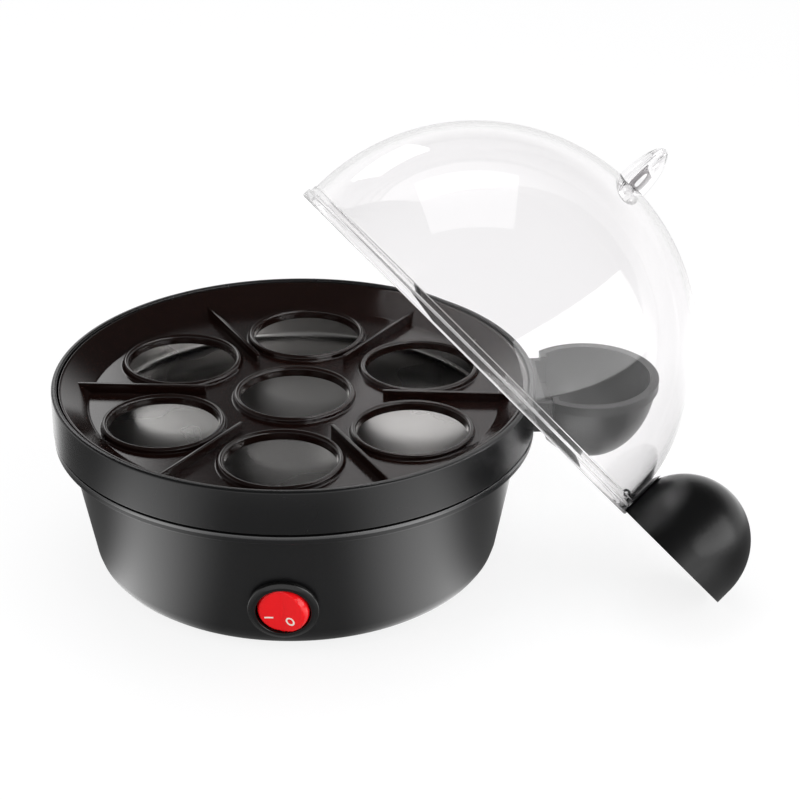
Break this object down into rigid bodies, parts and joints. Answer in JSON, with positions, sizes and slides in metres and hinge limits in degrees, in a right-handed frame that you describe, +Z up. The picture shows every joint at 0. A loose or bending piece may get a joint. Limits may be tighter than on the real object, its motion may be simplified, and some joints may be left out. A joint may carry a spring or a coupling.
{
  "type": "commercial egg boiler",
  "caption": "Round electric egg steamer: black base with a red rocker switch, dished tray with egg seats, and a clear domed lid leaning open on the rim.",
  "frame": {"origin": "on the axis of the base, in the plane that it stands on", "axes": "+Z up the axis of the base, -Y out of the front where the switch is, +X towards the side with the handles"},
  "size_m": [0.2431, 0.1713, 0.1563],
  "materials": {
    "housing_plastic": "satin near-black, fine grain",
    "rim_plastic": "satin near-black",
    "tray_plastic": "gloss black-brown",
    "clear_plastic": "clear, see-through",
    "vent_grey": "dark grey",
    "switch_black": "gloss black",
    "rocker_red": "gloss red, see-through tint",
    "pan_steel": "brushed",
    "screw_steel": "zinc plated",
    "heater_aluminium": "cast",
    "element_steel": "heat darkened",
    "thermostat_body": "ceramic cream",
    "terminal_brass": "bright",
    "terminal_white": "white",
    "seal_rubber": "soft black",
    "foot_rubber": "soft black",
    "lead_brown": "insulated wire",
    "lead_blue": "insulated wire"
  },
  "bodies": {
    "base": {"lower_housing": "housing_plastic", "rim_collar": "rim_plastic", "base_handle": "rim_plastic", "base_handle_screws": "screw_steel", "bottom_cover": "housing_plastic", "bottom_screws": "screw_steel", "rubber_feet": "foot_rubber", "water_pan": "pan_steel", "pan_seal": "seal_rubber", "heat_spreader": "heater_aluminium", "heating_element": "element_steel", "thermostat": "thermostat_body", "thermostat_bracket": "screw_steel", "thermostat_screws": "screw_steel", "thermal_fuse": "terminal_brass", "fuse_clip": "screw_steel", "switch_housing": "switch_black", "switch_terminals": "terminal_brass", "cord_gland": "seal_rubber", "cord_clamp": "switch_black", "cord_clamp_screws": "screw_steel", "terminal_block": "terminal_white", "terminal_screws": "terminal_brass", "lead_supply": "lead_brown", "lead_switched": "lead_brown", "lead_fused": "lead_brown", "lead_element": "lead_brown", "lead_return": "lead_blue"},
    "rocker": {"rocker": "rocker_red"},
    "contact": {"contact_blade": "terminal_brass"},
    "tray": {"egg_tray": "tray_plastic"},
    "lid": {"lid_dome": "clear_plastic", "lid_knob": "clear_plastic", "lid_vent": "vent_grey", "lid_handle": "rim_plastic"}
  },
  "joints": [
    {"name": "lid_lift", "type": "slide", "parent": "base", "child": "lid", "axis": [0.6872, 0.3307, 0.6468], "range_m": [0, 0.09]},
    {"name": "tray_lift", "type": "slide", "parent": "base", "child": "tray", "axis": [0, 0, 1], "range_m": [0, 0.054]},
    {"name": "rocker_tilt", "type": "hinge", "parent": "base", "child": "rocker", "pos_m": [0.00238, -0.07371, 0.02023], "axis": [0.0056, -0.1736, 0.9848], "range_deg": [0, 24]},
    {"name": "contact_tilt", "type": "hinge", "parent": "base", "child": "contact", "pos_m": [0.00203, -0.06288, 0.02215], "axis": [0.0056, -0.1736, 0.9848], "range_deg": [-12, 0]}
  ],
  "couplings": [
    {"joint": "tray_lift", "follows": "lid_lift", "ratio": 0.6},
    {"joint": "contact_tilt", "follows": "rocker_tilt", "ratio": -0.5}
  ]
}
